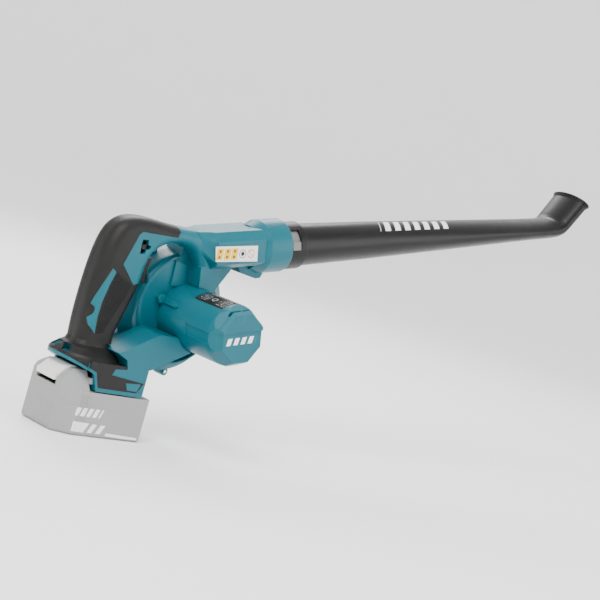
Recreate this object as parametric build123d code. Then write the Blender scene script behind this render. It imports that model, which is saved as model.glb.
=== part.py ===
from build123d import *
import math
import os

# Hand-held cordless leaf blower.  Millimetres.
# Frame: origin at the middle of the battery's bottom face, +X towards the nozzle,
# +Y the tool's left side (air intake), +Z up.  The motor points along -Y.

# ---------------------------------------------------------------- driving sizes
WALL = 2.4  # moulded shell thickness
SKIN = 2.0  # rubber overmould thickness
FAR = 300.0  # reach of cutting blocks beyond the tool

# handle and web, all as half widths about y = 0
HANDLE_HALF = 18.0
BACK_ROUND, FRONT_ROUND = 13.0, 9.0

# fan and motor axis, along Y
AXIS_X, AXIS_Z = 96.0, 138.8
DRUM_Y0, DRUM_RIM_Y, DRUM_Y1 = 2.0, 24.0, 38.0  # near face, rim and far face of the drum
DRUM_R = 69.5
CROWN_R, CROWN_SHIFT, CROWN_DEG = 50.5, 16.5, 135.0  # flat near face, offset from the axis
CROWN_ROUND = 9.0
COVER_Y1 = 46.0
INTAKE_R = 31.0
SCROLL_DEG, SCROLL_R, SCROLL_GROWTH, SCROLL_WALL = 42.0, 48.5, 17.0, 1.8  # spiral air wall, first angle and radius
SCROLL_SWEEP, SCROLL_STEPS = 312.0, 13

# motor housing
MOTOR_TURN = 14.0  # roll of the housing about the motor axis, degrees
MOTOR_R = 33.5
MOTOR_SEAT = MOTOR_R + 0.4
MOTOR_END_Y = -104.0
MOTOR_FACET_Y = -86.0  # where the round housing starts to turn into an octagon
MOTOR_FLAT = 25.5  # half width across flats of the end face
PARTING = 7.5  # height of the cover parting plane above the axis
CAN_R, CAN_WALL, CAN_Y0, CAN_Y1 = 27.0, 1.6, -84.0, -18.0
SHAFT_R, SHAFT_Y0, SHAFT_Y1 = 4.0, -98.6, 31.5
BEARING_GAP = 0.05
SLOTS = 12  # armature slots and commutator bars

# fan wheel
FAN_R, FAN_BLADES, FAN_Y0, FAN_Y1 = 44.0, 11, 12.4, 34.5
NUT_Y0, NUT_Y1, NUT_R = 26.0, 30.5, 7.0

# outlet duct and nozzle, along an axis pitched up from the horizontal
PITCH = 13.0
PITCH_Z = 187.7  # height of the nozzle axis at x = 0
DUCT_S0, DUCT_HALF, DUCT_LOW, DUCT_HIGH = 100.0, 28.0, -15.5, 24.5
DUCT_BEVEL = 9.0
COLLAR_S0, COLLAR_S1, COLLAR_R, COLLAR_LIFT = 175.0, 206.5, 30.0, 1.2
SPIGOT_S1, SPIGOT_R, SPIGOT_BORE = 225.0, 24.0, 21.8
RING_S0, RING_S1, RING_R = 207.0, 229.0, 26.8
RING_GAP = 0.4
LUG_TURN, LUG_S, LUG_L, LUG_W = 79.0, 214.0, 11.0, 9.4  # locking lugs round the spigot
TWIST_STEPS, TWIST_STEP = 4, 10.0  # bayonet slots in the ring, degrees per step
TUBE_R, TUBE_WALL = 24.3, 1.8

# battery and its seat
PACK_L, PACK_W, PACK_H = 113.0, 75.0, 47.0
PACK_SPLIT, PACK_WALL = 30.0, 2.0
WELL_HALF, WELL_NECK, WELL_Z, RAIL_Z, WELL_X = 33.5, 27.0, 68.0, 54.0, 40.0
CELL_R, CELL_PITCH, CELL_HALF = 9.0, 18.9, 32.5
TERMINAL_Y = (-12.0, 0.0, 12.0)
LATCH_HALF, LATCH_TRAVEL = 16.9, 4.0

# screws
SCREW_R, HEAD_R, HEAD_H, BOSS_R = 1.9, 3.6, 2.6, 4.8
SHELL_SCREWS = [(-19.0, 112.0), (-19.0, 150.0), (-17.0, 207.0), (66.0, 220.4)]
COVER_SCREWS = [(10, 72.5), (-75, 72.5), (-170, 72.5), (-235, 72.5)]  # (degrees, radius)

# ---------------------------------------------------------------- outlines in the XZ plane
HANDLE_BACK = [
    (-39.5, 96.0), (-41.0, 117.0), (-41.0, 151.0), (-38.5, 186.0), (-34.5, 205.0), (-27.5, 219.0),
    (-15.0, 228.5), (0.0, 232.0), (30.0, 231.6), (76.0, 231.6), (100.0, 235.0), (122.0, 239.5),
]
HANDLE_FRONT = [
    (93.0, 168.0), (92.5, 178.0), (88.0, 194.0), (80.0, 205.0), (69.0, 212.0),
    (56.0, 213.5), (42.0, 211.5), (30.0, 205.0), (22.0, 196.0), (17.8, 180.0), (16.2, 163.0),
    (12.2, 145.0), (6.2, 122.0), (2.4, 104.0), (3.0, 96.0),
]
NOSE = [(130.0, 200.0), (118.0, 182.0)]
FOOT_FLARE = [  # (z, middle x, length, width, corner radius), widest first
    (79.0, -19.0, 72.0, 72.0, 33.0), (82.0, -19.0, 69.0, 67.0, 31.0), (85.0, -19.3, 63.0, 58.5, 28.0),
    (88.0, -19.5, 56.0, 49.5, 23.0), (91.0, -19.0, 45.0, 40.0, 16.0), (98.0, -18.4, 40.0, 34.0, 12.0),
]
SKIRT_X0, SKIRT_X1, SKIRT_Z0, SKIRT_Z1 = -34.0, 44.0, 48.4, 79.0
RIM = [(-19.5, 48.4), (-26.7, 66.2), (-64.0, 78.3)]  # lower edge at the back
RUBBER_ZONE = [
    (48.3, 260.0), (48.3, 233.2), (50.7, 226.6), (47.4, 219.8), (0.1, 218.2), (-3.4, 214.8),
    (-13.7, 181.0), (6.0, 162.0), (12.1, 164.4), (40.0, 164.4), (40.0, 110.0), (13.2, 84.0),
    (13.4, 75.9), (-1.4, 74.7), (-4.2, 68.1), (39.9, 63.8), (33.3, 52.6), (-18.0, 52.4),
    (-24.5, 68.4), (-70.0, 83.2), (-130.0, 83.2), (-130.0, 260.0),
]
BLADE = [  # shell left showing through the rubber on the flank of the grip
    (-25.1, 174.9), (-19.7, 171.3), (-23.8, 156.6), (-27.2, 138.9), (-27.8, 121.8), (-25.8, 104.6),
    (-35.4, 112.5), (-38.0, 119.5), (-33.8, 125.0), (-33.0, 128.5), (-33.7, 131.9), (-38.0, 134.5),
    (-36.1, 143.8), (-32.2, 156.7), (-27.8, 168.3),
]
SKIRT_WINDOW = [(16.6, 61.7), (36.0, 62.6), (33.0, 54.2), (20.2, 54.2)]
STRAP_X, STRAP_Y, STRAP_Z, STRAP_L, STRAP_W, STRAP_H = -47.0, 7.5, 85.0, 22.0, 9.0, 7.0
BRIDGE = [
    (20.0, 96.0), (22.0, 99.5), (36.5, 98.8), (60.0, 112.0), (70.0, 84.0), (44.0, 76.0), (30.0, 78.0),
    (21.0, 87.5),
]
BRIDGE_Y0, BRIDGE_Y1 = 14.0, 33.0
THROAT = [(74.0, 190.0), (74.0, 214.0), (104.0, 226.0), (136.0, 228.0), (131.0, 203.5), (118.0, 186.0)]
THROAT_Y1 = 31.0
LEG = [
    (93.0, 166.0), (93.0, 172.0), (88.0, 195.0), (131.0, 203.0), (128.6, 196.7), (116.5, 175.3),
    (110.0, 160.0),
]
PAD = [(69.0, 166.8), (67.5, 194.3), (84.0, 191.5), (87.5, 167.5)]
STRUT = [
    (-3.0, 91.4), (44.4, 118.2), (84.0, 118.0), (90.0, 104.0), (43.8, 79.0), (20.0, 77.0),
    (13.4, 77.4), (10.1, 85.7),
]
STRUT_Y0 = -37.5
HOOK = [(140.0, 214.0), (148.4, 201.0), (152.2, 196.5), (176.0, 193.9), (182.5, 195.8), (186.0, 206.0),
        (188.0, 214.0)]
HOOK_HALF = 8.0
F_SLOT = [
    (2.2, 210.2), (9.9, 211.0), (11.2, 205.8), (15.5, 205.3), (14.2, 201.4), (10.0, 200.9),
    (9.9, 196.5), (3.0, 195.3),
]
TRIGGER_Z0, TRIGGER_Z1, TRIGGER_HALF, TRIGGER_X0 = 164.2, 193.0, 9.5, 9.0
LABEL = [(91.2, 220.6), (96.8, 204.6), (153.6, 214.8), (148.6, 231.8)]
LABEL_T = 0.35
TUBE_LEVELS = [  # (along the axis, rise off it, pitch, half thickness, half width)
    (226.0, 0.0, 0.0, 24.3, 24.3), (345.0, -0.3, 0.0, 21.6, 23.4), (475.0, -0.5, 0.0, 17.3, 24.4),
    (607.0, -0.6, 0.0, 12.7, 25.6), (648.0, -0.6, 0.0, 11.9, 26.3), (657.0, 0.1, 9.0, 11.9, 26.5),
    (663.0, 1.8, 22.0, 12.0, 26.6), (668.0, 5.4, 35.0, 12.0, 26.8), (672.0, 9.2, 43.5, 12.0, 27.0),
    (694.0, 30.1, 43.5, 12.2, 27.6), (696.0, 32.0, 43.5, 13.4, 28.6), (697.6, 33.5, 43.5, 14.6, 29.6),
]

PARTS = {}


# ---------------------------------------------------------------- helpers
def put(name, shape):
    PARTS[name] = shape


def slab(sketch, y0, y1):
    """Extrude an XZ sketch from y0 to y1."""
    return extrude(Plane.XZ.offset(-y1) * sketch, amount=y1 - y0)


def poly(*pts):
    return make_face(Polyline(*pts, close=True))


def cyl_y(r, y0, y1, x=AXIS_X, z=AXIS_Z):
    return Pos(x, (y0 + y1) / 2, z) * Rot(90, 0, 0) * Cylinder(r, abs(y1 - y0))


def tube_y(r1, r0, y0, y1, x=AXIS_X, z=AXIS_Z):
    return cyl_y(r1, y0, y1, x, z) - cyl_y(r0, y0 - 1, y1 + 1, x, z)


def cyl_x(r, x0, x1, y, z):
    return Pos((x0 + x1) / 2, y, z) * Rot(0, 90, 0) * Cylinder(r, x1 - x0)


def box(x0, x1, y0, y1, z0, z1):
    return Pos((x0 + x1) / 2, (y0 + y1) / 2, (z0 + z1) / 2) * Box(x1 - x0, y1 - y0, z1 - z0)


def both(half_width, x0, x1, z0, z1):
    """Block centred on y = 0."""
    return box(x0, x1, -half_width, half_width, z0, z1)


def on_duct(s):
    """Location on the nozzle axis, s mm along it, local Z forward and local -X up."""
    a = math.radians(PITCH)
    return Pos(s * math.cos(a), 0, PITCH_Z + s * math.sin(a)) * Rot(0, 90 - PITCH, 0)


def polar(deg, r):
    a = math.radians(deg)
    return (AXIS_X + r * math.cos(a), AXIS_Z + r * math.sin(a))


def spin(shape, deg):
    """Turn a shape about the motor axis, +X towards +Z."""
    return Pos(AXIS_X, 0, AXIS_Z) * Rot(0, -deg, 0) * Pos(-AXIS_X, 0, -AXIS_Z) * shape


def revolve_y(pts):
    """Revolve (radius, y) points about the motor axis."""
    face = make_face(Polyline(*[(r, y, 0) for r, y in pts], close=True))
    return Pos(AXIS_X, 0, AXIS_Z) * revolve(face, Axis.Y)


def halves(shape):
    """Split at the clamshell plane.  What the drum carries past the plane stays with the left half."""
    right = shape & box(-FAR, 3 * FAR, -FAR, 0, 0, 2 * FAR)
    left = shape & box(-FAR, 3 * FAR, 0, FAR, 0, 2 * FAR)
    main, *carried = sorted(right.solids(), key=lambda s: -s.volume)
    for piece in carried:
        if piece.bounding_box().max.X > WELL_X:
            left += piece
    return main, left


def round_edges(shape, edges, radii):
    """Fillet with the first radius of a list that gives a valid solid."""
    for r in radii:
        try:
            done = fillet(edges, r)
        except (ValueError, RuntimeError):
            continue
        if done.is_valid:
            return done
    return shape


def coil(radius, wire, length, turns):
    """A compression spring along local Z from 0 to length."""
    path = Helix(pitch=(length - 2 * wire) / turns, height=length - 2 * wire, radius=radius)
    profile = Plane(origin=path @ 0, z_dir=path % 0) * Circle(wire)
    return Pos(0, 0, wire) * sweep(profile, path=path)


def spring_x(radius, wire, x0, x1, y, z, turns):
    return Pos(x0, y, z) * Rot(0, 90, 0) * coil(radius, wire, x1 - x0, turns)


# ---------------------------------------------------------------- handle, web and foot
def inset_line(pts, d):
    """Shift a polyline's points d mm to the right of its direction."""
    out = []
    for i, (x, z) in enumerate(pts):
        (x0, z0), (x1, z1) = pts[max(i - 1, 0)], pts[min(i + 1, len(pts) - 1)]
        n = math.hypot(x1 - x0, z1 - z0)
        out.append((x + d * (z1 - z0) / n, z - d * (x1 - x0) / n))
    return out


def handle_solid(inset):
    """The handle and web, inset by a shell thickness."""
    back, front = inset_line(HANDLE_BACK, inset), inset_line(HANDLE_FRONT, inset)
    nose = Polyline(back[-1], *[(x - inset, z) for x, z in NOSE], front[0])
    face = make_face([Spline(*back), nose, Spline(*front), Line(front[-1], back[0])])
    w = HANDLE_HALF - inset
    solid = slab(face, -w, w)
    for line, r in ((back, BACK_ROUND), (front, FRONT_ROUND)):
        x, z = line[len(line) // 2]
        edges = [
            e for e in solid.edges()
            if abs(abs(e.center().Y) - w) < 0.01 and e.geom_type == GeomType.BSPLINE
            and e.distance_to(Vector(x, e.center().Y, z)) < 1
        ]
        solid = round_edges(solid, edges, [r - inset, r - inset - 1, r - inset - 2])
    return solid


def foot_solid(inset):
    """Flare from the grip to the battery, with the skirt round the pack's rails."""
    plans = [RectangleRounded(ln - 2 * inset, w - 2 * inset, r - inset) for _, _, ln, w, r in FOOT_FLARE]
    flare = loft([Pos(x, 0, z) * plan for (z, x, *_), plan in zip(FOOT_FLARE, plans)], ruled=True)
    z0, x0 = FOOT_FLARE[0][:2]
    plate = extrude(Pos(x0, 0, RIM[1][1]) * plans[0], amount=z0 - RIM[1][1])
    y = PACK_W / 2 - inset
    skirt = both(y, SKIRT_X0, SKIRT_X1 - inset, SKIRT_Z0, SKIRT_Z1 - inset)
    skirt = fillet(skirt.edges().filter_by(Axis.Z).sort_by(Axis.X)[-2:], 4)
    under = slab(poly(*RIM, (-FAR, RIM[2][1]), (-FAR, 0), (RIM[0][0], 0)), -60, 60)
    return flare + plate + skirt - under


def battery_well():
    return both(WELL_NECK, -FAR, WELL_X, 0, WELL_Z) + both(WELL_HALF, -FAR, WELL_X, RAIL_Z, WELL_Z)


def strap_eye():
    """Two slanting channels that meet behind the grip."""
    return [
        Pos(STRAP_X, side * STRAP_Y, STRAP_Z) * Rot(0, 0, -45 * side) * Box(STRAP_L, STRAP_W, STRAP_H)
        for side in (-1, 1)
    ]


# ---------------------------------------------------------------- outlet duct
def duct_section(inset):
    """Flat-sided section across the nozzle axis (x is down)."""
    h, lo, hi, b = DUCT_HALF - inset, -DUCT_LOW - inset, -DUCT_HIGH + inset, DUCT_BEVEL
    return poly((hi, -h + b), (hi, h - b), (hi + b, h), (lo - 6, h), (lo, h - b), (lo, -h + b), (lo - 6, -h),
                (hi + b, -h))


def duct_solid():
    body = extrude(on_duct(DUCT_S0) * duct_section(0), amount=COLLAR_S0 - DUCT_S0 - 8)
    up = Pos(-COLLAR_LIFT, 0)
    cone = loft([on_duct(COLLAR_S0 - 14) * up * Circle(24.6), on_duct(COLLAR_S0) * up * Circle(COLLAR_R)])
    collar = extrude(on_duct(COLLAR_S0) * up * Circle(COLLAR_R), amount=COLLAR_S1 - COLLAR_S0)
    collar = fillet(collar.faces().sort_by(Axis.X)[-1].edges(), 3)
    hook = slab(poly(*HOOK), -HOOK_HALF, HOOK_HALF)
    shoulder = loft([
        on_duct(DUCT_S0 - 16) * Pos(-12.5, 0) * RectangleRounded(25, 34, 8), on_duct(DUCT_S0 + 2) * duct_section(0)
    ])
    return body + cone + collar + hook + shoulder


def duct_bore():
    body = extrude(on_duct(DUCT_S0 + 4) * duct_section(WALL), amount=54)
    round_s = COLLAR_S0 + 8
    neck = loft([on_duct(DUCT_S0 + 58) * duct_section(WALL), on_duct(round_s) * Circle(SPIGOT_BORE)])
    return body + neck + extrude(on_duct(round_s) * Circle(SPIGOT_BORE), amount=COLLAR_S1 - round_s + 5)


# ---------------------------------------------------------------- fan drum
def spiral_wall():
    turns = [k / SCROLL_STEPS for k in range(SCROLL_STEPS + 1)]
    line = [(SCROLL_DEG - SCROLL_SWEEP * t, SCROLL_R + SCROLL_GROWTH * t**0.8) for t in turns]
    pts, inner = [polar(a, r) for a, r in line], [polar(a, r - SCROLL_WALL) for a, r in line]
    face = make_face([Spline(*pts), Line(pts[-1], inner[-1]), Spline(*inner), Line(inner[0], pts[0])])
    return slab(face, DRUM_Y0 + 0.5, DRUM_Y1)


def drum_solid(inset):
    """Drum with a flat near crown, a slanting flank and a straight rim."""
    crown = Pos(*polar(CROWN_DEG, CROWN_SHIFT)) * Circle(CROWN_R - inset / 2)
    rim = Pos(AXIS_X, AXIS_Z) * Circle(DRUM_R - inset)
    cone = loft([Plane.XZ.offset(-DRUM_RIM_Y) * rim, Plane.XZ.offset(-DRUM_Y0 - inset) * crown])
    cone = round_edges(cone, [cone.edges().sort_by(Axis.Y)[0]], [CROWN_ROUND, 6, 4])
    return cone + cyl_y(DRUM_R - inset, DRUM_RIM_Y, DRUM_Y1)


def screw_y(x, z, head_y, length):
    """Socket-head screw along Y with its head facing +Y."""
    neck_y = head_y - HEAD_H
    socket = slab(Pos(x, z) * RegularPolygon(1.7, 6), head_y - 1.6, head_y)
    return cyl_y(HEAD_R, neck_y, head_y, x, z) - socket + cyl_y(SCREW_R, neck_y - length, neck_y, x, z)


def shells():
    """Clamshell body and rubber, both before they are split at y = 0."""
    outer = handle_solid(0) + foot_solid(0)
    core = handle_solid(SKIN) + foot_solid(SKIN)
    motor_room = cyl_y(MOTOR_SEAT, -120, DRUM_Y0)
    drum = drum_solid(0) + slab(poly(*BRIDGE), BRIDGE_Y0, BRIDGE_Y1)
    drum += slab(poly(*THROAT), DRUM_Y0 + 0.3, THROAT_Y1)
    for a, r in COVER_SCREWS:
        drum += cyl_y(BOSS_R, 26, DRUM_Y1 - 0.01, *polar(a, r))
    strut = slab(poly(*STRUT), STRUT_Y0, DRUM_Y0 + 1)
    strut -= slab(offset(poly(*STRUT), -WALL), STRUT_Y0 + WALL, -WALL)
    leg = slab(poly(*LEG), -HANDLE_HALF + 0.01, DRUM_RIM_Y)
    pad = slab(poly(*PAD), -0.6, DRUM_Y0 + 0.9)
    boss = slab(Pos(*polar(160.5, 38.6)) * RegularPolygon(5.6, 6), -4.5, DRUM_Y0 + 1.5)
    near = (strut + leg + pad + boss) - motor_room

    rubber = (outer & slab(poly(*RUBBER_ZONE), -60, 60)) - core - slab(poly(*BLADE), -60, 60)
    rubber -= slab(poly(*SKIRT_WINDOW), -60, 60)
    body = outer - rubber
    rubber = rubber - strut - drum
    for extra in (drum, duct_solid(), near):
        body = body + extra

    posts = [cyl_y(BOSS_R, -20, 20, x, z) for x, z in SHELL_SCREWS]
    body -= handle_solid(SKIN + WALL) - box(78, FAR, -60, 60, 0, FAR) - posts
    body -= drum_solid(WALL) + cyl_y(DRUM_R - WALL, DRUM_Y1 - 1, DRUM_Y1 + 1)
    body -= duct_bore()
    body -= slab(offset(poly(*THROAT), -WALL), DRUM_Y0 + WALL, THROAT_Y1 - WALL)
    body += spiral_wall()
    for cut in (battery_well(), *strap_eye()):
        body -= cut
        rubber -= cut
    body -= cyl_y(12, -28, DRUM_Y0 + WALL + 5) + motor_room
    slot = TRIGGER_HALF + 0.5
    body -= both(slot, TRIGGER_X0 - 5, 40, TRIGGER_Z0 - 0.7, TRIGGER_Z1 + 0.7)
    body -= slab(poly(*F_SLOT), -25, -10)
    for x, z in SHELL_SCREWS:
        sink = cyl_y(HEAD_R + 0.3, 12, 30, x, z)
        body -= cyl_y(SCREW_R + 0.05, -11, 30, x, z) + sink
        rubber -= sink
    for a, r in COVER_SCREWS:
        body -= cyl_y(SCREW_R + 0.05, 20, 50, *polar(a, r))
    return body, rubber


# ---------------------------------------------------------------- trigger, switch, controls
def controls():
    z0, z1 = TRIGGER_Z0 + 0.4, TRIGGER_Z1 - 0.6
    bow = Spline((28.8, z1), (26.2, 180.0), (28.6, z0))
    trigger = slab(make_face([bow, Polyline((28.6, z0), (TRIGGER_X0, z0), (TRIGGER_X0, z1), (28.8, z1))]),
                   -TRIGGER_HALF, TRIGGER_HALF)
    put("trigger", round_edges(trigger, trigger.edges().filter_by(GeomType.BSPLINE), [2.5, 1.5]))
    switch = both(10.5, -27, -2, 160, 196) + both(7, -22, -8, 196, 200)
    put("switch_module", switch - cyl_x(3.2, -9, -1, 0, 179))
    put("trigger_spring", spring_x(2.4, 0.35, -8.8, TRIGGER_X0 - 0.2, 0, 179, 6))
    put("lever_plate", box(0.5, 14, -13.3, -11.8, 193.5, 212.5) - box(4.4, 9.6, -20, -5, 198.0, 208.0))
    put("speed_lever", box(4.5, 9.5, -17.2, -11.3, 200.4, 205.4) + box(1.5, 12.5, -11.5, -10.3, 196.5, 209.0))
    board = box(-11, 18, -1.2, 0.4, 203.5, 214)
    put("control_board", board + box(-9, 0, -6.5, -1.2, 205, 212) + box(4, 14, -5.0, -1.2, 206, 212))


# ---------------------------------------------------------------- motor housing and motor
def motor_shape(inset):
    """Round housing whose free end is cut to a blunt octagon."""
    r, end, flat = MOTOR_R - inset, MOTOR_END_Y + inset, MOTOR_FLAT - inset * 0.8
    body = revolve_y([(0, DRUM_Y0 - 0.2), (r, DRUM_Y0 - 0.2), (r, MOTOR_FACET_Y), (r - 1.2, end + 8),
                      (r - 4.0, end), (0, end)])
    at_axis = Pos(AXIS_X, AXIS_Z) * Rot(0, 0, MOTOR_TURN + 22.5)
    wide = at_axis * RegularPolygon(r + 0.8, 8, major_radius=False)
    small = at_axis * RegularPolygon(flat, 8, major_radius=False)
    tip = loft([Plane.XZ.offset(-MOTOR_FACET_Y) * wide, Plane.XZ.offset(-end) * small])
    return body & (tip + slab(wide, MOTOR_FACET_Y - 0.01, DRUM_Y0))


def motor_covers():
    outer, inner = motor_shape(0), motor_shape(WALL)
    outer = round_edges(outer, outer.faces().sort_by(Axis.Y)[0].edges(), [1.5, 1.0, 0.6])
    shell = outer - inner - cyl_y(MOTOR_R - WALL, -1, 3)
    for a0, a1 in ((56, 86), (90, 122)):
        sector = poly((AXIS_X, AXIS_Z), polar(a0, 60), polar((a0 + a1) / 2, 60), polar(a1, 60))
        shell -= spin(slab(sector, -98.6, -96.2) - cyl_y(20, -110, -80), MOTOR_TURN)
    label_y = (-86, -38)
    mark = spin(slab(poly((AXIS_X, AXIS_Z), polar(61, 60), polar(90, 75), polar(119, 60)), *label_y), MOTOR_TURN)
    put("rating_label", tube_y(MOTOR_R, MOTOR_R - 0.5, *label_y) & mark)
    shell -= tube_y(MOTOR_R + 1, MOTOR_R - 0.5, *label_y) & mark
    top = AXIS_Z + PARTING
    above = spin(box(AXIS_X - 60, AXIS_X + 60, -120, 10, top, top + 60), MOTOR_TURN)
    lid = (motor_shape(-0.9) & above & box(0, 200, -120, -99.6, 0, FAR)) - inner
    rib = box(AXIS_X + MOTOR_R - 2, AXIS_X + MOTOR_R + 2.6, -29, -5.2, AXIS_Z - 3, AXIS_Z + 3)
    rib = spin(fillet(rib.edges().filter_by(Axis.X), 2.8), 160.5)
    panel = box(AXIS_X + MOTOR_R - 1.3, AXIS_X + 60, -88, -47, AXIS_Z - 5.6, AXIS_Z + 5.6)
    put("motor_cover_upper", (shell & above) + lid + rib)
    put("motor_cover_lower", shell - above - spin(panel, 193))


def motor_inside():
    put("motor_can", tube_y(CAN_R, CAN_R - CAN_WALL, CAN_Y0, CAN_Y1) + tube_y(CAN_R, 8.0, CAN_Y1, CAN_Y1 + CAN_WALL))
    put("motor_mount_rings", tube_y(MOTOR_R - WALL, CAN_R, -62, -58) + tube_y(MOTOR_R - WALL, CAN_R, -32, -28))
    gap = slab(poly((AXIS_X, AXIS_Z), polar(62, 50), polar(90, 60), polar(118, 50)), -90, 0)
    put("motor_magnets", tube_y(CAN_R - CAN_WALL, 19.6, -74, -28) - gap - spin(gap, 180))
    put("front_bearing", tube_y(8.0, SHAFT_R + BEARING_GAP, -22, -14.5))
    put("motor_end_bell", tube_y(CAN_R, 7.0, -96, -93.5) + tube_y(CAN_R, CAN_R - 2, -93.5, CAN_Y0))
    put("rear_bearing", tube_y(7.0, SHAFT_R + BEARING_GAP, -99, -93.5))
    holders, brushes = [], []
    for side, word in ((1, "front"), (-1, "rear")):
        turn = 0 if side > 0 else 180
        block = box(AXIS_X + 10, AXIS_X + 23.2, -92.5, -84.5, AXIS_Z - 4.5, AXIS_Z + 4.5)
        block -= box(AXIS_X + 6, AXIS_X + 22.2, -91.5, -85.5, AXIS_Z - 3.5, AXIS_Z + 3.5)
        holders.append(spin(block, turn))
        brushes.append(spin(box(AXIS_X + 9.4, AXIS_X + 15.4, -91.4, -85.6, AXIS_Z - 3.4, AXIS_Z + 3.4), turn))
        put("brush_spring_" + word, spin(spring_x(2.2, 0.3, AXIS_X + 15.5, AXIS_X + 22, -88.5, AXIS_Z, 4), turn))
    put("brush_holders", Compound(children=holders))
    put("motor_brushes", Compound(children=brushes))
    put("rotor_shaft", cyl_y(SHAFT_R, SHAFT_Y0, SHAFT_Y1))
    core, comm = tube_y(18.9, SHAFT_R, -72, -32), tube_y(9.0, SHAFT_R, -92.4, -82)
    for k in range(SLOTS):
        turn = 360 / SLOTS * k
        core -= spin(box(AXIS_X + 14.4, AXIS_X + 20.4, -74, -30, AXIS_Z - 0.8, AXIS_Z + 0.8), turn)
        comm -= spin(box(AXIS_X + 7.8, AXIS_X + 10.2, -98, -78, AXIS_Z - 0.25, AXIS_Z + 0.25), turn + 15)
    put("armature_core", core)
    put("armature_windings", tube_y(16.5, SHAFT_R, -79, -72.1) + tube_y(16.5, SHAFT_R, -31.9, -25.5))
    put("commutator", comm)


# ---------------------------------------------------------------- fan and its cover
def fan():
    wheel = tube_y(FAN_R, SHAFT_R, FAN_Y0, FAN_Y0 + 2.2)
    wheel += revolve_y([(SHAFT_R, FAN_Y0), (11, FAN_Y0), (10, FAN_Y0 + 6), (7.5, NUT_Y0), (SHAFT_R, NUT_Y0)])
    tip = FAN_R - 0.8
    blade = make_face([
        ThreePointArc((9.5, 0), (26, 5.5), (tip, 22)), Line((tip, 22), (tip - 1.5, 23.2)),
        ThreePointArc((tip - 1.5, 23.2), (25, 7.4), (9.5, 1.9)), Line((9.5, 1.9), (9.5, 0)),
    ])
    solid = Pos(AXIS_X, FAN_Y1, AXIS_Z) * Rot(90, 0, 0) * extrude(blade, amount=FAN_Y1 - FAN_Y0 - 1)
    for k in range(FAN_BLADES):
        wheel += spin(solid, 360 / FAN_BLADES * k) & cyl_y(FAN_R - 0.2, FAN_Y0, FAN_Y1)
    put("fan_wheel", wheel - cyl_y(SHAFT_R, 0, 60))
    put("fan_nut", slab(Pos(AXIS_X, AXIS_Z) * RegularPolygon(NUT_R, 6), NUT_Y0, NUT_Y1) - cyl_y(SHAFT_R, 0, 60))


def fan_cover():
    cover = cyl_y(DRUM_R, DRUM_Y1, DRUM_Y1 + WALL)
    for a, r in COVER_SCREWS:
        cover += cyl_y(BOSS_R, DRUM_Y1, DRUM_Y1 + WALL, *polar(a, r))
    cover += revolve_y([(INTAKE_R, DRUM_Y1), (INTAKE_R + 9, DRUM_Y1), (INTAKE_R + 4, COVER_Y1), (INTAKE_R, COVER_Y1)])
    cover -= cyl_y(INTAKE_R, 30, 60)
    for a, r in COVER_SCREWS:
        cover -= cyl_y(SCREW_R + 0.1, 30, 60, *polar(a, r))
    put("fan_cover", cover)
    y0, y1 = COVER_Y1 - 3.5, COVER_Y1 - 0.5
    grille = tube_y(INTAKE_R, INTAKE_R - 2.5, COVER_Y1 - 6, y1) + cyl_y(6, y0, y1)
    for r in (11.5, 17, 22.5):
        grille += tube_y(r + 0.9, r - 0.9, y0, y1)
    for k in range(6):
        grille += spin(box(AXIS_X + 4.5, AXIS_X + 29.5, y0, y1, AXIS_Z - 1, AXIS_Z + 1), 60 * k)
    put("intake_grille", grille)


def fasteners():
    put("shell_screws", Compound(children=[screw_y(x, z, 14.6, 18) for x, z in SHELL_SCREWS]))
    head_y = DRUM_Y1 + WALL + HEAD_H
    put("cover_screws", Compound(children=[screw_y(*polar(a, r), head_y, 16) for a, r in COVER_SCREWS]))


# ---------------------------------------------------------------- outlet ring and nozzle
def tube_at(s0, s1, r1, r0):
    return on_duct(s0) * Pos(0, 0, (s1 - s0) / 2) * (Cylinder(r1, s1 - s0) - Cylinder(r0, s1 - s0 + 2))


def tube_loft(inset, over=0.0):
    """Ruled tube, its two ends lengthened by over."""
    planes = [
        on_duct(s) * Pos(-rise, 0, 0) * Rot(0, -turn, 0) * Ellipse(t - inset, w - inset)
        for s, rise, turn, t, w in TUBE_LEVELS
    ]
    s, rise, turn = TUBE_LEVELS[-1][:3]
    last = on_duct(s) * Pos(-rise, 0, 0) * Rot(0, -turn, 0) * Pos(0, 0, over)
    planes[0] = on_duct(TUBE_LEVELS[0][0] - over) * Circle(TUBE_R - inset)
    planes[-1] = last * Ellipse(*[a - inset for a in TUBE_LEVELS[-1][3:]])
    return loft(planes, ruled=True)


def nozzle():
    ring = tube_at(COLLAR_S1, SPIGOT_S1, SPIGOT_R, SPIGOT_BORE)
    collar = tube_at(RING_S0, RING_S1, RING_R, SPIGOT_R + RING_GAP) + tube_at(RING_S1 - 3, RING_S1, RING_R, TUBE_R)
    stop = LUG_S + LUG_L / 2 + 0.9
    for turn in (LUG_TURN, LUG_TURN + 180):
        ring += on_duct(LUG_S) * Rot(0, 0, turn) * Pos(-(SPIGOT_R + 0.7), 0, 0) * Box(3.4, LUG_W, LUG_L)
        for step in range(TWIST_STEPS):
            s0 = RING_S0 + 0.6 if step < TWIST_STEPS - 1 else RING_S0 - 7
            cut = Pos(-(SPIGOT_R + 2), 0, (s0 + stop) / 2) * Box(6, LUG_W + 1, stop - s0)
            collar -= on_duct(0) * Rot(0, 0, turn - TWIST_STEP * step) * cut
    put("outlet_ring", ring)
    put("nozzle_collar", collar)
    put("nozzle_tube", tube_loft(0) - tube_loft(TUBE_WALL, 1.0))
    put("warning_label", slab(poly(*LABEL), -DUCT_HALF - LABEL_T, -DUCT_HALF))


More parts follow.
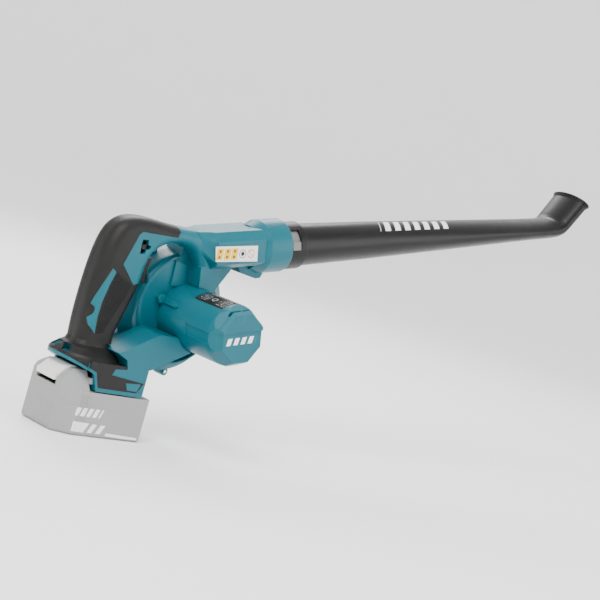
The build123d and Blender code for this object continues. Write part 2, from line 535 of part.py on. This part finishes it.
# ---------------------------------------------------------------- battery
PACK_PLAN = [(-56.5, -26.0), (-36.0, -37.5), (52.5, -37.5), (56.5, -33.5), (56.5, 33.5), (52.5, 37.5),
             (-36.0, 37.5), (-56.5, 26.0)]
HUMP = [(-56.5, 46), (-56.5, 54), (-48, 63), (-42, 66.5), (-26, 66.5), (-25, 46)]
LATCH = [(-59, 56), (-55.6, 58.5), (-48.5, 65.4), (-43, 68.2), (-38, 68.2), (-36, 67.2), (-36, 57), (-48, 57),
         (-52, 52), (-59, 50.5)]
RAIL_END, RAIL_TOP, BOARD_Z = 24.0, 60.5, 43.6
LATCH_SPRING_X = -42.0


def battery():
    plan = poly(*PACK_PLAN)
    room = offset(plan, -PACK_WALL)
    ribs = [
        box(x, x + 2, side * 37.9 - 0.4, side * 37.9 + 0.4, 5, 43) for x in (-33, -26) for side in (-1, 1)
    ]
    lower = extrude(plan, amount=PACK_SPLIT)
    lower = round_edges(lower, lower.faces().sort_by(Axis.Z)[0].edges(), [4, 2])
    lower -= extrude(Pos(0, 0, PACK_WALL) * room, amount=PACK_SPLIT)
    upper = extrude(Pos(0, 0, PACK_SPLIT) * plan, amount=PACK_H - PACK_SPLIT)
    for rib in ribs:
        lower += rib & both(60, -60, 60, 0, PACK_SPLIT)
        upper += rib & both(60, -60, 60, PACK_SPLIT, PACK_H)
    put("battery_case_lower", lower)
    sides = loft([Pos(-40, 0, 45) * Rectangle(60, 74.9), Pos(-40, 0, 67) * Rectangle(60, 46)])
    upper += slab(poly(*HUMP), -40, 40) & sides & extrude(Pos(0, 0, 30) * plan, amount=60)
    upper += both(26.4, -26, RAIL_END, 46, RAIL_TOP) + both(33.0, -26, RAIL_END, RAIL_Z + 0.5, RAIL_TOP)
    upper -= extrude(Pos(0, 0, PACK_SPLIT - 1) * room, amount=PACK_H - PACK_SPLIT - 1)
    upper -= both(24, -25, RAIL_END - 2, PACK_H - 3, RAIL_TOP - 2) + both(24, -52, -28, PACK_H - 3, 56)
    for y in TERMINAL_Y:
        upper -= box(-4, RAIL_END + 6, y - 1.2, y + 1.2, 55.0, 70)
    upper -= both(LATCH_HALF + 0.5, -60, -33, 50 - LATCH_TRAVEL - 0.3, 80)
    put("battery_case_upper", upper)
    cells = [
        Pos(-30.5 + CELL_PITCH * i, 0, 12 + CELL_PITCH * j) * Rot(90, 0, 0) * Cylinder(CELL_R, 2 * CELL_HALF)
        for i in range(5) for j in range(2)
    ]
    put("battery_cells", Compound(children=cells))
    put("battery_board", both(22, -50, 22, BOARD_Z - 1.6, BOARD_Z))
    clips = [
        box(2, 14, y + d - 0.4, y + d + 0.4, BOARD_Z, 58) for y in TERMINAL_Y for d in (-1.0, 1.0)
    ]
    put("battery_contacts", Compound(children=clips))
    put("battery_latch", slab(poly(*LATCH), -LATCH_HALF, LATCH_HALF))
    put("latch_spring", Pos(LATCH_SPRING_X, 0, BOARD_Z) * coil(3.5, 0.4, 57 - BOARD_Z, 5))


def terminals():
    block = both(20, RAIL_END + 2, WELL_X - 0.2, 55.5, WELL_Z - 0.1)
    blades = [box(3, 30, y - 0.4, y + 0.4, 55.6, 61) for y in TERMINAL_Y]
    for blade in blades:
        block -= blade
    put("terminal_block", block)
    put("terminal_blades", Compound(children=blades))


def main():
    os.makedirs("parts", exist_ok=True)
    controls()
    motor_covers()
    motor_inside()
    fan()
    fan_cover()
    fasteners()
    nozzle()
    battery()
    terminals()
    for name, shape in zip(("housing", "grip_rubber"), shells()):
        right, left = halves(shape)
        put(name + "_right", right)
        put(name + "_left", left)
    for name, shape in PARTS.items():
        export_step(shape, "parts/" + name + ".step")


if __name__ == "__main__":
    main()
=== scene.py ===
import math

import bpy
from mathutils import Matrix, Vector


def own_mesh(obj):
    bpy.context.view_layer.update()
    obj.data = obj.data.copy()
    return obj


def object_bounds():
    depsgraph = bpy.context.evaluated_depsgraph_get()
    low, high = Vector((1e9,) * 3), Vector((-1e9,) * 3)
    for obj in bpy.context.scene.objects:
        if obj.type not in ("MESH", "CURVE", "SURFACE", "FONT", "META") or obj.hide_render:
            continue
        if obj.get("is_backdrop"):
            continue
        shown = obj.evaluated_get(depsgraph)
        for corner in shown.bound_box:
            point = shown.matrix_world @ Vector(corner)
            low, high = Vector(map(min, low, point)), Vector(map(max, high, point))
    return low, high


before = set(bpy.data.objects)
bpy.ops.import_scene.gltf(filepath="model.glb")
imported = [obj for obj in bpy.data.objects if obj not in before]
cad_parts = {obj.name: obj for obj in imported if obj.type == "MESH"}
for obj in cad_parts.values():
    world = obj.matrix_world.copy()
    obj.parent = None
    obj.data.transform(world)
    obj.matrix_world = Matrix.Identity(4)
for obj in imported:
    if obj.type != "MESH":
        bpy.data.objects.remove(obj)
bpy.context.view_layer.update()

MM = 0.001
AXIS_X, AXIS_Z = 96 * MM, 138.8 * MM  # motor axis, along Y
PITCH, PITCH_Z = math.radians(13), 187.7 * MM  # nozzle axis
COVER_ROLL = math.radians(14)
LABEL_RADIUS = 33.5 * MM  # the rating label wraps round the motor covers
PLASTIC_SPECULAR, METAL_SPECULAR = 0.25, 0.5

FLOOR_GAP = 0.2 * MM
FLOOR_REACH, WALL_RADIUS, WALL_TOP = 2.6, 1.6, 5.0
FLOOR_COLUMNS, WALL_STEPS = 96, 12
LIGHT_AIM = (0.15, 0.0, 0.18)
LIGHTS = [  # name, place, width, power, tint
    ("key", (-1.5, -1.1, 2.2), 1.6, 95.0, (1.0, 0.99, 0.97)),
    ("fill", (1.4, -1.9, 0.8), 1.8, 26.0, (1.0, 1.0, 1.0)),
    ("rim", (0.9, 1.4, 1.7), 1.2, 40.0, (1.0, 1.0, 1.0)),
]
SKY_STRENGTH = 1.35
SENSOR_MM, LENS_MM, CLIP_END = 36.0, 108.43, 50.0
CAMERA_RIGHT, CAMERA_UP, CAMERA_BACK = (0.7124, -0.6447, 0.2772), (-0.1472, 0.2490, 0.9573), (-0.6862, -0.7228, 0.0824)
CAMERA_EYE = (-1.1569, -1.4907, 0.3498)


# ---------------------------------------------------------------- shader building
class Paint:
    """One material, with short calls that add and wire its nodes. Sizes are in metres in the tool's frame."""

    def __init__(self, name):
        self.material = bpy.data.materials.new(name)
        self.material.use_nodes = True
        self.tree = self.material.node_tree
        self.surface = self.tree.nodes["Principled BSDF"]
        self.place = self.tree.nodes.new("ShaderNodeTexCoord").outputs["Object"]
        split = self.add("ShaderNodeSeparateXYZ", self.place)
        self.x, self.y, self.z = split.outputs

    def add(self, kind, *inputs, **settings):
        node = self.tree.nodes.new(kind)
        for key, value in settings.items():
            setattr(node, key, value)
        for socket, value in zip(node.inputs, inputs):
            self.feed(socket, value)
        return node

    def feed(self, socket, value):
        if isinstance(value, bpy.types.NodeSocket):
            self.tree.links.new(value, socket)
        elif value is not None:
            socket.default_value = value

    def math(self, operation, a, b=0.0, clamp=False):
        return self.add("ShaderNodeMath", a, b, operation=operation, use_clamp=clamp).outputs[0]

    def plus(self, a, b):
        return self.math("ADD", a, b)

    def times(self, a, b):
        return self.math("MULTIPLY", a, b)

    def both(self, *masks):
        out = masks[0]
        for mask in masks[1:]:
            out = self.math("MINIMUM", out, mask)
        return out

    def either(self, *masks):
        out = masks[0]
        for mask in masks[1:]:
            out = self.math("MAXIMUM", out, mask)
        return out

    def line(self, a, b, c):
        """a x + b z + c"""
        return self.plus(self.plus(self.times(self.x, a), self.times(self.z, b)), c)

    def inside(self, distance, soft=0.1 * MM):
        """Soft mask, 1 where distance is above 0."""
        return self.math("ADD", self.times(distance, 1 / soft), 0.5, clamp=True)

    def within(self, value, low, high, soft=0.1 * MM):
        middle, reach = (low + high) / 2, (high - low) / 2
        gap = self.math("ABSOLUTE", self.plus(value, -middle))
        return self.inside(self.math("SUBTRACT", reach, gap), soft)

    def polygon(self, points):
        """Mask of a convex outline in the XZ plane, its (x, z) points in mm and clockwise."""
        masks = []
        for (x0, z0), (x1, z1) in zip(points, points[1:] + points[:1]):
            n = math.hypot(x1 - x0, z1 - z0)
            a, b = (z1 - z0) / n, -(x1 - x0) / n
            masks.append(self.inside(self.line(a, b, -(a * x0 + b * z0) * MM)))
        return self.both(*masks)

    def ring(self, u, v, radius, thick):
        far = self.math("SQRT", self.plus(self.times(u, u), self.times(v, v)))
        return self.within(far, radius - thick / 2, radius + thick / 2)

    def bars(self, u, v, length, height, pitch, share=0.6, slant=0.35):
        """Row of slanting bars centred on u = v = 0."""
        leaning = self.math("SUBTRACT", u, self.times(v, slant))
        phase = self.math("FRACT", self.times(self.plus(leaning, length), 1 / pitch))
        stripe = self.math("LESS_THAN", phase, share)
        return self.both(stripe, self.within(leaning, -length / 2, length / 2),
                         self.within(v, -height / 2, height / 2))

    def noise(self, scale, detail=3.0, stretch=None):
        place = self.place
        if stretch:
            place = self.add("ShaderNodeMapping", place, None, None, stretch).outputs[0]
        node = self.add("ShaderNodeTexNoise", place)
        node.inputs["Scale"].default_value = scale
        node.inputs["Detail"].default_value = detail
        return node.outputs[0]

    def between(self, mask, low, high):
        """Number going from low to high with the mask."""
        return self.plus(self.times(mask, high - low), low)

    def mix(self, mask, a, b):
        node = self.add("ShaderNodeMix", data_type="RGBA")
        self.feed(node.inputs["Factor"], mask)
        self.feed(node.inputs["A"], a)
        self.feed(node.inputs["B"], b)
        return node.outputs["Result"]

    def edges(self, radius):
        """Mask of outer edges, from how far a rounded normal leaves the true one; callers paint these edges lighter,
        part wear and part painted highlight.
        """
        rounded = self.add("ShaderNodeBevel", radius, samples=4).outputs[0]
        true = self.add("ShaderNodeNewGeometry").outputs["Normal"]
        cosine = self.add("ShaderNodeVectorMath", rounded, true, operation="DOT_PRODUCT").outputs["Value"]
        return rounded, self.math("MULTIPLY", self.math("SUBTRACT", 1.0, cosine), 3.0, clamp=True)

    def bump(self, height, distance, strength=1.0, normal=None):
        node = self.add("ShaderNodeBump")
        self.feed(node.inputs["Height"], height)
        node.inputs["Distance"].default_value = distance
        node.inputs["Strength"].default_value = strength
        if normal is not None:
            self.feed(node.inputs["Normal"], normal)
        return node.outputs[0]

    def finish(self, color, roughness, normal, metallic=0.0):
        self.feed(self.surface.inputs["Base Color"], color)
        self.feed(self.surface.inputs["Roughness"], roughness)
        self.feed(self.surface.inputs["Normal"], normal)
        self.surface.inputs["Metallic"].default_value = metallic
        self.surface.inputs["Specular IOR Level"].default_value = METAL_SPECULAR if metallic else PLASTIC_SPECULAR
        return self.material


def rgb(r, g, b):
    return (r, g, b, 1.0)


def moulded(name, color, wear_and_highlight_tone, roughness, grain=0.03 * MM, grain_scale=1500, edge=0.9 * MM, marks=None):
    """Moulded plastic or rubber: cloudy tone, fine grain, scuffs, and outer edges painted lighter as part wear and
    part painted highlight.
    """
    p = Paint(name)
    rounded, wear_and_highlight_edges = p.edges(edge)
    cloud = p.noise(9.0, 4.0)
    deep = rgb(*[c * 0.82 for c in color[:3]])
    tone = p.mix(p.between(cloud, 0.1, 0.9), deep, color)
    scuff = p.math("GREATER_THAN", p.noise(240.0, 5.0, (1.0, 1.0, 0.22)), 0.66)
    # outer edges painted lighter, broken up by noise: part wear, part painted highlight; the scuffs below are wear
    tone = p.mix(p.both(p.times(wear_and_highlight_edges, 0.45), p.noise(70.0)), tone, wear_and_highlight_tone)
    tone = p.mix(p.times(scuff, 0.10), tone, wear_and_highlight_tone)
    rough = p.plus(p.between(p.noise(55.0, 5.0), roughness - 0.07, roughness + 0.08), p.times(scuff, 0.08))
    normal = p.bump(p.noise(grain_scale, 2.0), grain, 0.35, p.bump(p.noise(30.0, 2.0), 0.12 * MM, 0.3, rounded))
    if marks:
        tone, rough, normal = marks(p, tone, rough, normal)
    return p.finish(tone, rough, normal)


def metal(name, color, roughness, stretch=(1.0, 0.05, 1.0)):
    p = Paint(name)
    rounded, wear_and_highlight_edges = p.edges(0.4 * MM)
    streak = p.noise(900.0, 4.0, stretch)
    tone = p.mix(streak, rgb(*[c * 0.75 for c in color[:3]]), color)
    # outer edges painted lighter: part wear, part painted highlight
    tone = p.mix(p.times(wear_and_highlight_edges, 0.4), tone, rgb(*[min(1.0, c * 1.25) for c in color[:3]]))
    rough = p.between(streak, roughness - 0.08, roughness + 0.12)
    return p.finish(tone, rough, p.bump(streak, 0.02 * MM, 0.4, rounded), 1.0)


def along_nozzle(p):
    """(distance along, height off) the nozzle axis."""
    c, s = math.cos(PITCH), math.sin(PITCH)
    return p.line(c, s, -PITCH_Z * s), p.line(-s, c, -PITCH_Z * c)


def on_roll(p, x, z):
    """XZ coordinates turned with the motor covers, from a centre in mm."""
    c, s = math.cos(COVER_ROLL), math.sin(COVER_ROLL)
    u = p.line(c, s, -(x * c + z * s) * MM)
    return u, p.line(-s, c, (x * s - z * c) * MM)


# ---------------------------------------------------------------- marks on each surface
WHITE, SOFT_WHITE, DARK = rgb(0.82, 0.82, 0.81), rgb(0.66, 0.66, 0.66), rgb(0.012, 0.012, 0.013)
# second colour: scuffs and lighter outer edges, part wear and part painted highlight
TEAL, TEAL_WEAR_AND_HIGHLIGHT = rgb(0.0005, 0.105, 0.142), rgb(0.02, 0.21, 0.26)


def end_marks(p, tone, rough, normal):
    u, v = on_roll(p, 95.5, 137.2)
    bars = p.both(p.bars(u, v, 38 * MM, 7.5 * MM, 9.5 * MM), p.inside(p.plus(p.times(p.y, -1), -102.5 * MM)))
    return p.mix(bars, tone, WHITE), p.between(bars, 0.36, 0.3), normal


def grip_marks(p, tone, rough, normal):
    """Textured thumb panel on both flanks of the grip."""
    panel = p.polygon([(-18.8, 171.2), (5.0, 161.2), (0.5, 149.5), (-10.7, 108.4), (-24.0, 104.6), (-25.5, 122.0),
                       (-25.0, 139.0), (-22.0, 156.6)])
    panel = p.both(panel, p.inside(p.plus(p.math("ABSOLUTE", p.y), -12.5 * MM)))
    weave = p.both(p.math("PINGPONG", p.line(1.0, 0.55, 0.0), 0.9 * MM),
                   p.math("PINGPONG", p.line(0.45, -1.0, 0.0), 0.9 * MM))
    tone = p.mix(panel, tone, rgb(0.0035, 0.0032, 0.0032))
    height = p.plus(p.times(panel, -0.4 * MM), p.times(p.times(panel, weave), 0.5))
    return tone, p.plus(rough, p.times(panel, 0.12)), p.bump(height, 1.0, 0.8, normal)


def nozzle_marks(p, tone, rough, normal):
    along, up = along_nozzle(p)
    u, v = p.plus(along, -407 * MM), p.plus(p.y, 10 * MM)
    bars = p.both(p.bars(u, v, 112 * MM, 15 * MM, 16 * MM, 0.55, 0.5), p.inside(up))
    return p.mix(bars, tone, WHITE), rough, normal


def pack_marks(p, tone, rough, normal):
    side = p.inside(p.plus(p.times(p.y, -1), -37.2 * MM))
    mark = p.bars(p.plus(p.x, 25 * MM), p.plus(p.z, -25.6 * MM), 44 * MM, 9 * MM, 8 * MM, 0.62)
    block = p.polygon([(-44, 15.2), (-16, 14.3), (-21, 4.0), (-37, 4.5)])
    strip = p.both(p.within(p.line(0.03, 1.0, 0.0), 3.4 * MM, 6.4 * MM), p.within(p.x, 8 * MM, 50 * MM))
    chevron = p.bars(p.plus(p.x, 3 * MM), p.plus(p.z, -9.2 * MM), 22 * MM, 9.5 * MM, 11 * MM, 0.55, 0.5)
    white = p.both(side, p.either(mark, block, strip, chevron))
    return p.mix(white, tone, WHITE), rough, normal


def warning_marks(p, tone, rough, normal):
    along, up = along_nozzle(p)
    u = p.plus(along, -125.5 * MM)
    v = p.plus(p.plus(up, -1.9 * MM), p.times(u, 0.034))
    for middle in (-22.6, -12.3, -2.6):
        w = p.math("SUBTRACT", p.plus(u, -middle * MM), p.times(v, 0.12))
        block = p.both(p.within(w, -4.3 * MM, 4.3 * MM), p.within(v, -6.3 * MM, 6.3 * MM))
        tone = p.mix(block, tone, rgb(0.80, 0.46, 0.004))
        for rise in (-3.2, 3.2):
            dot = p.ring(w, p.plus(v, -rise * MM), 0.9 * MM, 1.3 * MM)
            tone = p.mix(dot, tone, rgb(0.05, 0.04, 0.01))
    black = p.plus(u, -8.7 * MM)
    tone = p.mix(p.either(p.ring(black, v, 4.4 * MM, 0.8 * MM), p.ring(black, v, 1.2 * MM, 2.4 * MM)), tone, DARK)
    red = p.plus(u, -20.4 * MM)
    slash = p.both(p.within(p.plus(red, v), -0.5 * MM, 0.5 * MM), p.inside(
        p.math("SUBTRACT", 4.4 * MM, p.math("SQRT", p.plus(p.times(red, red), p.times(v, v))))))
    tone = p.mix(p.either(p.ring(red, v, 4.4 * MM, 0.8 * MM), slash), tone, rgb(0.55, 0.03, 0.02))
    return tone, rough, normal


def rating_marks(p, tone, rough, normal):
    turn = p.math("ARCTAN2", p.plus(p.z, -AXIS_Z), p.plus(p.x, -AXIS_X))
    round_the_motor = p.times(p.plus(turn, -math.radians(108)), LABEL_RADIUS)
    ring = p.ring(p.plus(p.y, 62 * MM), p.plus(round_the_motor, -4.5 * MM), 3.0 * MM, 0.6 * MM)
    rows = p.math("LESS_THAN", p.math("FRACT", p.times(round_the_motor, 1 / (2.6 * MM))), 0.28)
    words = p.math("GREATER_THAN", p.noise(420.0, 1.0, (1.0, 1.0, 0.2)), 0.5)
    lines = p.both(rows, words, p.either(p.within(p.y, -84 * MM, -70 * MM), p.within(p.y, -55 * MM, -42 * MM)),
                   p.within(round_the_motor, -12 * MM, 12 * MM))
    return p.mix(p.either(ring, p.times(lines, 0.6)), tone, SOFT_WHITE), rough, normal


# ---------------------------------------------------------------- materials for every piece
def teal(name, marks=None):
    return moulded(name, TEAL, TEAL_WEAR_AND_HIGHLIGHT, 0.36, marks=marks)


def black(name, roughness, marks=None):
    return moulded(name, rgb(0.0018, 0.0018, 0.0020), rgb(0.022, 0.022, 0.022), roughness, marks=marks)


# second colour: scuffs and lighter outer edges, part wear and part painted highlight
charcoal, charcoal_wear_and_highlight = rgb(0.0065, 0.0060, 0.0058), rgb(0.03, 0.03, 0.03)
steel = metal("zinc_steel", rgb(0.62, 0.62, 0.64), 0.34)
MATERIALS = {
    ("housing_right", "housing_left", "fan_cover"): teal("shell_teal"),
    ("motor_cover_upper", "motor_cover_lower"): teal("cover_teal", end_marks),
    ("grip_rubber_right", "grip_rubber_left"): moulded(
        "soft_rubber", charcoal, charcoal_wear_and_highlight, 0.50, grain=0.06 * MM, grain_scale=900, marks=grip_marks),
    ("nozzle_tube",): black("nozzle_black", 0.33, nozzle_marks),
    ("nozzle_collar", "trigger", "speed_lever", "lever_plate"): black("control_black", 0.40),
    ("intake_grille", "fan_wheel", "switch_module", "terminal_block", "motor_mount_rings", "motor_end_bell"):
        black("inner_black", 0.48),
    ("outlet_ring",): moulded("spigot_grey", rgb(0.16, 0.16, 0.16), rgb(0.3, 0.3, 0.3), 0.42),
    ("warning_label",): moulded(
        "label_white", rgb(0.84, 0.84, 0.83), rgb(0.6, 0.6, 0.6), 0.34, grain=0.005 * MM, marks=warning_marks),
    ("rating_label",): moulded(
        "label_black", DARK, rgb(0.08, 0.08, 0.08), 0.30, grain=0.005 * MM, marks=rating_marks),
    ("battery_case_lower", "battery_case_upper"): moulded(
        "pack_grey", rgb(0.30, 0.30, 0.305), rgb(0.52, 0.52, 0.52), 0.45, marks=pack_marks),
    ("battery_latch",): moulded("latch_white", rgb(0.80, 0.79, 0.75), rgb(0.9, 0.9, 0.88), 0.42),
    ("shell_screws", "cover_screws", "rotor_shaft", "fan_nut", "front_bearing", "rear_bearing", "motor_can"): steel,
    ("trigger_spring", "latch_spring", "brush_spring_front", "brush_spring_rear"):
        metal("spring_steel", rgb(0.48, 0.48, 0.50), 0.28),
    ("armature_core",): metal("lamination", rgb(0.33, 0.33, 0.35), 0.45, (0.05, 12.0, 0.05)),
    ("armature_windings", "commutator"): metal("copper", rgb(0.72, 0.34, 0.18), 0.32, (0.2, 6.0, 0.2)),
    ("terminal_blades", "battery_contacts", "brush_holders"): metal("brass", rgb(0.78, 0.58, 0.25), 0.30),
    ("motor_magnets", "motor_brushes"): moulded("dark_sinter", rgb(0.05, 0.05, 0.055), rgb(0.2, 0.2, 0.2), 0.7),
    ("control_board", "battery_board"): moulded("board_green", rgb(0.01, 0.10, 0.04), rgb(0.1, 0.25, 0.12), 0.38),
    ("battery_cells",): moulded("cell_blue", rgb(0.03, 0.12, 0.28), rgb(0.2, 0.3, 0.45), 0.30),
}
for names, material in MATERIALS.items():
    for node in names:
        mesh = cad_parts[node].data
        mesh.materials.clear()
        mesh.materials.append(material)


# ---------------------------------------------------------------- springs get meshes of their own
for spring, joint, axis, fixed_end, length, travel in (
        ("trigger_spring", "trigger_pull", (1, 0, 0), (-8.8 * MM, 0, 0), 17.8, 6.0),
        ("latch_spring", "latch_press", (0, 0, 1), (0, 0, 43.6 * MM), 13.4, 4.0)):
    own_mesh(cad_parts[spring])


# ---------------------------------------------------------------- floor, light and camera
def sweep():
    """Round pale floor that curves up into a wall all the way round the tool."""
    profile = [(0.0, 0.0), (FLOOR_REACH, 0.0)]
    for i in range(1, WALL_STEPS + 1):
        a = i * math.pi / (2 * WALL_STEPS)
        profile.append((FLOOR_REACH + WALL_RADIUS * math.sin(a), WALL_RADIUS - WALL_RADIUS * math.cos(a)))
    profile.append((FLOOR_REACH + WALL_RADIUS, WALL_TOP))
    points, faces = [], []
    for i in range(FLOOR_COLUMNS + 1):
        a = 2 * math.pi * i / FLOOR_COLUMNS
        for r, z in profile:
            points.append((r * math.cos(a), r * math.sin(a), z))
    n = len(profile)
    for i in range(FLOOR_COLUMNS):
        for j in range(n - 1):
            a = i * n + j
            faces.append((a, a + 1, a + n + 1, a + n))
    mesh = bpy.data.meshes.new("sweep")
    mesh.from_pydata(points, [], faces)
    mesh.shade_smooth()
    floor = bpy.data.objects.new("sweep", mesh)
    floor.location.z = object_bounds()[0].z - FLOOR_GAP
    bpy.context.scene.collection.objects.link(floor)
    p = Paint("floor_paper")
    tone = p.mix(p.noise(3.0, 2.0), rgb(0.90, 0.90, 0.90), rgb(0.93, 0.93, 0.93))
    mesh.materials.append(p.finish(tone, 0.9, p.bump(p.noise(400.0, 2.0), 0.02 * MM, 0.2)))
    floor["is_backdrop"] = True


def area_light(name, place, width, power, tint):
    light = bpy.data.lights.new(name, "AREA")
    light.shape, light.size, light.energy, light.color = "DISK", width, power, tint
    lamp = bpy.data.objects.new(name, light)
    lamp.location = place
    lamp.rotation_euler = (Vector(LIGHT_AIM) - Vector(place)).to_track_quat("-Z", "Y").to_euler()
    bpy.context.scene.collection.objects.link(lamp)


def studio():
    for light in LIGHTS:
        area_light(*light)
    world = bpy.data.worlds.new("studio")
    bpy.context.scene.world = world
    world.use_nodes = True
    sky = world.node_tree.nodes["Background"]
    sky.inputs["Color"].default_value = rgb(1.0, 1.0, 1.0)
    sky.inputs["Strength"].default_value = SKY_STRENGTH


def camera():
    data = bpy.data.cameras.new("camera")
    data.sensor_width, data.lens, data.clip_end = SENSOR_MM, LENS_MM, CLIP_END
    data.dof.use_dof = False
    cam = bpy.data.objects.new("camera", data)
    columns = (CAMERA_RIGHT, CAMERA_UP, CAMERA_BACK, CAMERA_EYE)
    cam.matrix_world = Matrix([[column[i] for column in columns] for i in range(3)] + [[0, 0, 0, 1]])
    bpy.context.scene.collection.objects.link(cam)
    bpy.context.scene.camera = cam


sweep()
studio()
camera()
